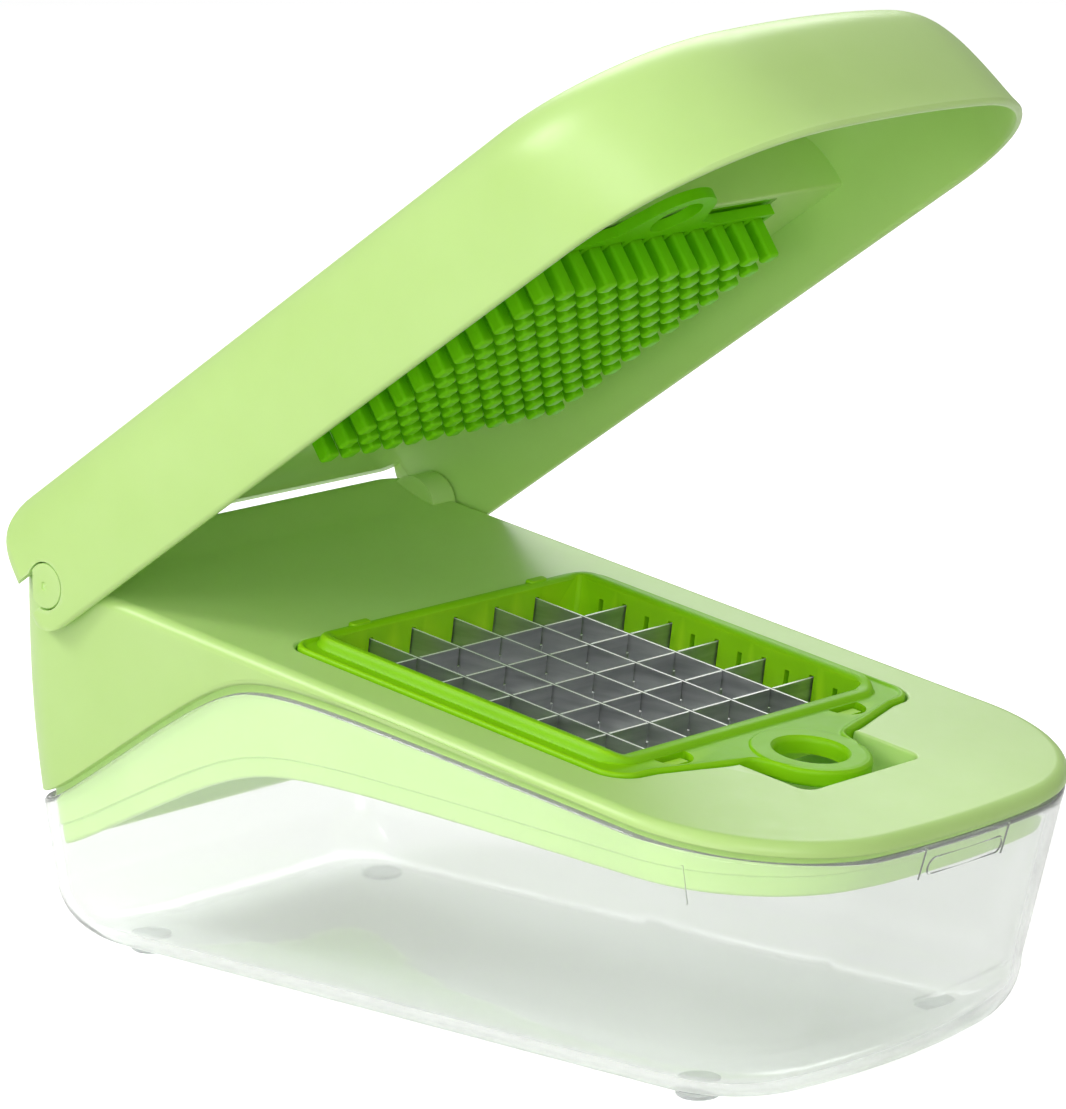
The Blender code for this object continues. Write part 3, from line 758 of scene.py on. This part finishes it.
def make_insert_frame():
    """The plate with its lip and curbs, the slotted walls and the finger ring."""
    inner_r = RING_R - 0.8
    rings = [ring3(insert_outline(-0.6, inner_r), PLATE_LOW)]
    profile = [(-0.15, PLATE_LOW + 0.15), (0.0, PLATE_LOW + 0.6), (0.0, -0.1), (-0.1, 0.25),
               (-0.35, 0.5), (-0.7, 0.6), (-1.05, 0.5), (-1.3, 0.25), (-1.6, 0.12), (-2.0, 0.1)]
    rings += [ring3(insert_outline(grow, inner_r), w) for grow, w in profile]
    body = loft("insert_frame_top", rings, DECK)
    join_in(body, box_body("tube", -TUBE_HALF, TUBE_HALF, -TUBE_HALF, TUBE_HALF,
                           TUBE_LOW, 0.0))
    join_in(body, raised_frame())
    for y in (-CATCH_Y, CATCH_Y):
        join_in(body, rear_nub(y))
    join_in(body, finger_ring())
    cut(body, opening_cutter())
    cut(body, ring_bore())
    cut(body, slot_cutter())
    for y in (-CATCH_Y, CATCH_Y):
        cut(body, moon(y))
    return body


def box_body(name, x0, x1, y0, y1, z0, z1, matrix=DECK):
    """A plain block, for joining or cutting."""
    outline = np.array([(x0, y0), (x1, y0), (x1, y1), (x0, y1)], float)
    return loft(name, [ring3(outline, z0), ring3(outline, z1)], matrix)


def raised_frame():
    """The raised ring round the opening: tall along the sides and low across the ends."""
    def outline(out):
        out = 1.1 * out - 0.4   # starts inside the opening, which trims it
        return rounded_rect(-OPENING - 0.8 * out, OPENING + out, OPENING + out, 2.6 + out)

    across = outline(1.0) - outline(0.0)
    side = np.abs(across[:, 1]) / np.linalg.norm(across, axis=1)
    ends = np.where(outline(0.0)[:, 0] > 0, 1.1, 1.7)
    height = ends + (2.3 - ends) * side ** 2
    profile = ((0.0, 0.15), (0.08, 0.34), (0.35, 0.58), (0.8, 0.8), (1.4, 0.95), (2.0, 1.0),
               (2.6, 0.97), (3.0, 0.8), (3.25, 0.5), (3.4, 0.2), (3.8, 0.0))
    rings = [ring3(outline(0.0), -0.6)]
    rings += [ring3(outline(out), part * height) for out, part in profile]
    rings.append(ring3(outline(3.8), -0.6))
    return loft("raised_frame", rings, DECK, closed=True)


def rear_nub(y):
    """Small catch on the rear of the raised frame."""
    levels = ((0.0, 0.0), (0.0, 1.7), (0.15, 2.0), (0.45, 2.15))
    rings = []
    for inset, top in levels:
        outline = rounded_rect(-39.3 + inset, -37.3 - inset, 2.6 - inset, 0.8 - inset, 4)
        rings.append(ring3(outline + (0.0, y), top))
    return loft("nub", rings, DECK)


def finger_ring():
    """The turned body of the finger ring."""
    low, top = -2.9, 0.5
    profile = [(RING_HOLE_R - 1.5, low), (RING_R - 0.9, low)]
    profile += [tuple(p) for p in arc(RING_R - 0.9, low + 0.9, 0.9, -80, 0, 4)]
    profile += [tuple(p) for p in arc(RING_R - 0.8, top - 0.8, 0.8, 0, 90, 5)]
    profile += [(RING_HOLE_R - 1.5, top)]
    return lathe("ring", profile, DECK @ Matrix.Translation((RING_U * MM, 0, 0)), 72)


def ring_bore():
    """The hole of the finger ring, with its rounded edge."""
    low, top = -4.0, 0.5
    levels = [(RING_HOLE_R, low), (RING_HOLE_R - 0.3, -2.2), (RING_HOLE_R - 0.3, -0.7),
              (RING_HOLE_R - 0.2, -0.2), (RING_HOLE_R + 0.05, 0.2), (RING_HOLE_R + 0.5, top),
              (RING_HOLE_R + 0.5, 3.0)]
    return loft("bore", [ring3(arc(RING_U, 0, r, 0, 360, 72)[:-1], w) for r, w in levels], DECK)


def opening_cutter():
    """The square opening over the blades."""
    outline = rounded_rect(-OPENING, OPENING, OPENING, 1.0)
    return loft("opening", [ring3(outline, -20.0), ring3(outline, 6.0)], DECK)


def slot_cutter():
    """Half-cell slots in the long walls and one slot to a blade in the short ones."""
    half = BLADE_T / 2 + GAP
    spans = []
    for i in range(-5, 6):
        top = BLADE_TOP + (0.4 if i % 2 == 0 else -0.4)
        for y0, y1 in ((-37.8, -35.0), (35.0, 37.8)):
            u = i * CELL / 2
            spans.append((u - half, u + half, y0, y1, TUBE_LOW - 1, top))
    for i in range(-2, 3):
        for u0, u1 in ((-37.8, -35.0), (35.0, 37.8)):
            y = i * CELL
            spans.append((u0, u1, y - half, y + half, TUBE_LOW - 1, BLADE_TOP + 0.3))
    return join_boxes("slots", spans)


BLOCK_FACES = ((0, 3, 2, 1), (4, 5, 6, 7), (0, 1, 5, 4), (1, 2, 6, 5), (2, 3, 7, 6),
               (3, 0, 4, 7))


def join_boxes(name, spans, matrix=DECK):
    """Many separate blocks in one mesh."""
    points, faces = [], []
    for x0, x1, y0, y1, z0, z1 in spans:
        n = len(points)
        corners = ((x0, y0), (x1, y0), (x1, y1), (x0, y1))
        points += [(x, y, z) for z in (z0, z1) for x, y in corners]
        faces += [tuple(n + i for i in face) for face in BLOCK_FACES]
    return from_faces(name, points, faces, matrix)


def moon(y):
    """A crescent slot beside the opening."""
    outline = np.concatenate([arc(40.4, y, 4.4, -90, 90, 20), [(40.1, y + 4.1), (40.1, y - 4.1)]])
    return loft("moon", [ring3(outline, w) for w in (PLATE_LOW - 2, 3.0)], DECK)


# ----------------------------------------------------------------------- lid

# Height above the rim, half width, rear end, nose end and nose corner radius
LID_LEVELS = np.array((
    (0.0, 57.2, -8.8, 194.8, 39.0),
    (12.0, 57.1, -8.8, 190.6, 37.0),
    (19.0, 56.5, -8.8, 187.8, 36.0),
    (23.5, 54.8, -8.0, 185.4, 35.0),
    (26.3, 52.2, -5.6, 182.4, 33.0),
    (27.6, 49.0, -2.0, 179.0, 30.0),
    (28.0, 45.2, 2.2, 175.0, 27.0),
))


def lid_ring(level, inset, low=0.0):
    """One level of the lid, moved in by inset and up by low."""
    v, half, rear, nose, corner = level
    height = -RIM_DROP + v - inset * min(1.0, v / 20.0) + low
    return ring3(plan(half - inset, rear + inset, nose - inset, 4.0, corner - inset, 8.0), height)


def lid_levels():
    """The levels with smooth steps between them, rim first."""
    return curve_through(LID_LEVELS, 6).tolist() + [LID_LEVELS[-1].tolist()]


def make_lid():
    """The cover: outside from the top down, round the rim and up the inside."""
    levels = lid_levels()
    outer = []
    for inset, lift in ((0.85, 0.0), (0.55, 0.12), (0.28, 0.45), (0.1, 0.95)):
        outer.append(lid_ring(levels[0], inset, lift))
    outer += [lid_ring(level, 0.0) for level in levels if level[0] > 1.4]
    inner = [lid_ring(level, LID_WALL) for level in levels if level[0] > 0.9]
    inner.append(lid_ring(levels[0], LID_WALL - 0.02, 0.6))
    rings = outer[::-1] + [lid_ring(levels[0], 1.25, 0.0), lid_ring(levels[0], 1.6, 0.2)]
    rings += inner[::-1][:1] + inner[:-1]
    lid = loft("lid_cover", rings, HINGE)
    add_lid_details(lid, levels)
    return lid


def add_lid_details(lid, levels):
    """The panel that holds the pusher, the rear opening, and the room for ears and pins."""
    panel = loft("panel", [lid_ring(level, LID_WALL / 2) for level in levels], HINGE)
    cut(panel, side_body("panel_side", panel_outline(), 70, HINGE), "INTERSECT")
    join_in(lid, panel)
    bed = rounded_rect(PRESS_X - 37.2, PRESS_X + 37.2, 37.2, 1.0)
    cut(lid, loft("bed", [ring3(bed, PANEL_W - 2), ring3(bed, PUSHER_TOP + GAP)], HINGE))
    half = LID_HALF - LID_WALL
    cut(lid, box_body("rear_opening", -30, -4.0, -half, half, -30, 11.3, HINGE))
    lobe = np.concatenate([[(0.0, -30.0), (-30.0, -30.0), (-30.0, 0.0)],
                           arc(0, 0, RIM_DROP, 180, 270, 24)])
    cut(lid, side_body("below_ear", lobe, 80, HINGE))
    mouth = math.degrees(math.asin(4.0 / 4.8))
    notch = np.concatenate([[(-20, -2.9), (-20, 4.0)], arc(0, 0, 4.8, 180 - mouth, -143, 40)])
    cut(lid, side_body("pin_notch", notch, 80, HINGE))


def side_body(name, outline, half, matrix):
    """An outline in the XZ plane, extruded across the width."""
    rings = [np.array([(x, y, z) for x, z in outline]) for y in (-half, half)]
    return loft(name, rings, matrix)


def panel_outline():
    """Side view of the panel over the pusher and its front wall, with soft corners."""
    low = PANEL_W
    front = [tuple(p) for p in arc(130.4, low + 0.6, 0.6, -90, 0, 4)]
    return [(47, low)] + front + [(131, 30), (128.8, 30), (128.8, low + 5), (47, low + 5)]


# ------------------------------------------------------------ pusher and grid

def tooth_lines():
    """Where the teeth start and end, from one edge of the plate to the other."""
    edge = GRID_HALF + 0.7
    lines = [-edge]
    for i in range(TEETH):
        middle = (i - (TEETH - 1) / 2) * TOOTH_PITCH
        lines += [middle - TOOTH / 2, middle + TOOTH / 2]
    return lines + [edge]


def make_pusher():
    """The plate with its square teeth, whose edges are rounded."""
    lines = tooth_lines()
    bm = bmesh.new()
    last = len(lines) - 1
    bmesh.ops.create_grid(bm, x_segments=last, y_segments=last, size=0.5)
    teeth = []
    for face in bm.faces:
        centre = face.calc_center_median()
        i, j = (math.floor((value + 0.5) * last) for value in (centre.x, centre.y))
        if i % 2 and j % 2:
            teeth.append(face)
    for vert in bm.verts:
        i, j = (round((value + 0.5) * last) for value in (vert.co.x, vert.co.y))
        vert.co = Vector((PRESS_X + lines[i], lines[j], PUSHER_LOW)) * MM
    raise_faces(bm, list(bm.faces), PUSHER_TOP - PUSHER_LOW)
    raise_faces(bm, teeth, TOOTH_TIP - PUSHER_LOW)
    bmesh.ops.delete(bm, geom=teeth, context="FACES_ONLY")
    bmesh.ops.recalc_face_normals(bm, faces=bm.faces)
    mesh = bpy.data.meshes.new("press_teeth")
    bm.to_mesh(mesh)
    bm.free()
    mesh.transform(HINGE)
    obj = new_object("press_teeth", mesh)
    bevel(obj, 0.75, 3, 60.0)
    return obj


def raise_faces(bm, faces, distance):
    """Extrudes the faces along Z."""
    new = bmesh.ops.extrude_face_region(bm, geom=faces)["geom"]
    verts = [item for item in new if isinstance(item, bmesh.types.BMVert)]
    bmesh.ops.translate(bm, verts=verts, vec=(0.0, 0.0, distance * MM))


def make_cleaning_grid():
    """Thin lattice round the roots of the teeth, with its own finger ring."""
    half = GRID_HALF - 0.2
    tab_u = half + 5.0
    outline = np.concatenate([
        [(-half, -half)], [(half, -half)], [(half, -18.0), (half + 2.2, -12.0)],
        arc(tab_u, 0, 9.5, -70, 70, 24), [(half + 2.2, 12.0), (half, 18.0), (half, half)],
        [(-half, half)]]) + (PRESS_X, 0)
    body = loft("cleaning_lattice", [ring3(outline, GRID_LOW), ring3(outline, GRID_TOP)], HINGE)
    bore = arc(PRESS_X + tab_u + 1.6, 0, 5.4, 0, 360, 40)[:-1]
    cut(body, loft("tab_bore", [ring3(bore, GRID_LOW - 1), ring3(bore, GRID_TOP + 1)], HINGE))
    reach = TOOTH / 2 + 0.45
    spans = []
    for i in range(TEETH):
        for j in range(TEETH):
            x, y = (PRESS_X * (k == 0) + (n - (TEETH - 1) / 2) * TOOTH_PITCH
                    for k, n in enumerate((i, j)))
            spans.append((x - reach, x + reach, y - reach, y + reach, GRID_LOW - 1, GRID_TOP + 1))
    cut(body, join_boxes("lattice_holes", spans, HINGE))
    bevel(body, 0.3, 2, 50.0)
    return body


# ------------------------------------------------------------- small pieces

def make_pin(side):
    """D-shaped end of the hinge pin, flat towards the rear, with a small centre mark."""
    radius = 4.5
    y0, y1 = 55.2, LID_HALF
    flat = math.degrees(math.acos(3.4 / radius))
    outline = arc(0, 0, radius, 180 + flat, 540 - flat, 48)
    rings = []
    for scale, y in ((1.0, y0), (1.0, y1 - 0.45), (0.97, y1 - 0.15), (0.9, y1), (0.2, y1),
                     (0.16, y1 - 0.25), (0.02, y1 - 0.3)):
        rings.append(np.array([(PIN_X + x * scale, side * y, PIN_Z + z * scale)
                               for x, z in outline]))
    return loft("pin_end_near" if side < 0 else "pin_end_far", rings)


def make_foot(index):
    """A low round foot with a softened edge."""
    low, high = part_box("foot_%d" % index)
    centre = (low + high) / 2 / MM
    radius = (high.x - low.x) / 2 / MM
    height = (high.z - low.z) / MM
    rings = []
    for r, z in ((radius * 0.5, 0.25), (radius * 0.62, 0.0), (radius - 0.35, 0.0),
                 (radius, 0.3), (radius, height)):
        rings.append(ring3(arc(centre.x, centre.y, r, 0, 360, 40)[:-1], z))
    return loft("pad_%d" % index, rings)


# ----------------------------------------------------------- stage and camera

def make_stage():
    """A pale floor with a faint glow, which throws back less light than it shows."""
    size = FLOOR_SIZE
    mesh = bpy.data.meshes.new("floor")
    mesh.from_pydata([(-size, -size, 0), (size, -size, 0), (size, size, 0), (-size, size, 0)],
                     [], [(0, 1, 2, 3)])
    floor = new_object("floor", mesh)
    mat, tree, shader = new_material("paper_floor")
    grain = noise(tree, 300.0, 3.0)
    tree.links.new(blend(tree, grain, (0.9, 0.9, 0.9), (0.94, 0.94, 0.94)),
                   shader.inputs["Base Color"])
    shader.inputs["Roughness"].default_value = 0.8
    path = tree.nodes.new("ShaderNodeLightPath")
    glow = tree.nodes.new("ShaderNodeEmission")
    tree.links.new(ranged(tree, path.outputs["Is Camera Ray"], SEEN_GLOW, FLOOR_GLOW, 0.0, 1.0),
                   glow.inputs["Strength"])
    lit = tree.nodes.new("ShaderNodeAddShader")
    dim = tree.nodes.new("ShaderNodeBsdfDiffuse")
    dim.inputs["Color"].default_value = (FLOOR_BOUNCE, FLOOR_BOUNCE, FLOOR_BOUNCE, 1.0)
    mix = tree.nodes.new("ShaderNodeMixShader")
    tree.links.new(shader.outputs["BSDF"], lit.inputs[0])
    tree.links.new(glow.outputs["Emission"], lit.inputs[1])
    tree.links.new(path.outputs["Is Diffuse Ray"], mix.inputs["Fac"])
    tree.links.new(lit.outputs["Shader"], mix.inputs[1])
    tree.links.new(dim.outputs["BSDF"], mix.inputs[2])
    tree.links.new(mix.outputs["Shader"], tree.nodes["Material Output"].inputs["Surface"])
    mesh.materials.append(mat)


def area_light(name, location, target, size, power):
    """A square lamp turned to its target."""
    data = bpy.data.lights.new(name, "AREA")
    data.shape = "SQUARE"
    data.size = size
    data.energy = power
    light = bpy.data.objects.new(name, data)
    light.location = Vector(location)
    light.rotation_euler = (Vector(location) - Vector(target)).to_track_quat("Z", "Y").to_euler()
    bpy.context.scene.collection.objects.link(light)


def make_world():
    """Soft white surroundings, which the camera sees as plain white."""
    world = bpy.data.worlds.new("studio")
    world.use_nodes = True
    tree = world.node_tree
    tree.nodes["Background"].inputs["Color"].default_value = (1.0, 1.0, 1.0, 1.0)
    tree.nodes["Background"].inputs["Strength"].default_value = WORLD_LIGHT
    seen = tree.nodes.new("ShaderNodeBackground")
    seen.inputs["Color"].default_value = (1.0, 1.0, 1.0, 1.0)
    path = tree.nodes.new("ShaderNodeLightPath")
    mix = tree.nodes.new("ShaderNodeMixShader")
    tree.links.new(path.outputs["Is Camera Ray"], mix.inputs["Fac"])
    tree.links.new(tree.nodes["Background"].outputs["Background"], mix.inputs[1])
    tree.links.new(seen.outputs["Background"], mix.inputs[2])
    tree.links.new(mix.outputs["Shader"], tree.nodes["World Output"].inputs["Surface"])
    bpy.context.scene.world = world


def make_lights():
    """The surroundings and the lamps."""
    make_world()
    for name, values in LAMPS.items():
        area_light(name, *values)


def make_camera():
    """A long lens above the lid, looking down on the near side and the nose."""
    data = bpy.data.cameras.new("camera")
    data.sensor_width = SENSOR
    data.lens = LENS
    data.clip_end = 20.0
    camera = bpy.data.objects.new("camera", data)
    camera.location = CAMERA_AT
    target = Vector(CAMERA_TARGET)
    camera.rotation_euler = (camera.location - target).to_track_quat("Z", "Y").to_euler()
    bpy.context.scene.collection.objects.link(camera)
    bpy.context.scene.camera = camera


# ---------------------------------------------------------------------- main

CLEAR = clear_plastic("clear_plastic", (0.975, 0.985, 0.978), 0.015, 0.9)
FROST = clear_plastic("frosted_plastic", (0.95, 0.96, 0.955), 0.2, 0.7)
# The third colour given to each plastic is its painted edge highlight.
PASTEL = moulded_plastic("pastel_green", (0.60, 0.87, 0.29), (0.57, 0.84, 0.26),
                         (0.66, 0.90, 0.40), 0.36, 0.12, 0.6)
BRIGHT = moulded_plastic("bright_green", (0.29, 0.68, 0.003), (0.26, 0.63, 0.002),
                         (0.42, 0.80, 0.01), 0.42, 0.03, 0.25)
# painted shade: a greener copy of the bright green for the pusher and grid, standing in for the
# green tint of the lid's shadow
SHADE_TINTED_GREEN = moulded_plastic("shade_tinted_green", (0.21, 0.73, 0.001), (0.18, 0.67, 0.001),
                       (0.28, 0.82, 0.004), 0.46, 0.03, 0.15, True)
STEEL = brushed_steel("stainless_steel")

add_piece(make_tub(), "container", CLEAR, ["container"])
add_piece(make_base(), "base", PASTEL, ["base_body"])
for side, word in ((-1, "near"), (1, "far")):
    add_piece(make_pin(side), "base", PASTEL, ["hinge_pin_" + word])
add_piece(make_insert_frame(), "insert", BRIGHT, ["insert_upper_frame"])
add_piece(make_lid(), "lid", PASTEL, ["lid_shell"])
add_piece(make_pusher(), "pusher", SHADE_TINTED_GREEN, ["pusher_plate"])
add_piece(make_cleaning_grid(), "cleaning_grid", SHADE_TINTED_GREEN,
          ["cleaning_grid"])
for index in range(1, 5):
    add_piece(make_foot(index), "container", FROST, ["foot_%d" % index])
for name, node in frame["nodes"].items():
    if name.startswith("blade") or name == "insert_lower_frame":
        node.data.materials.clear()
        node.data.materials.append(STEEL if name.startswith("blade") else BRIGHT)

make_stage()
make_lights()
make_camera()
bpy.context.scene.view_settings.view_transform = "Standard"
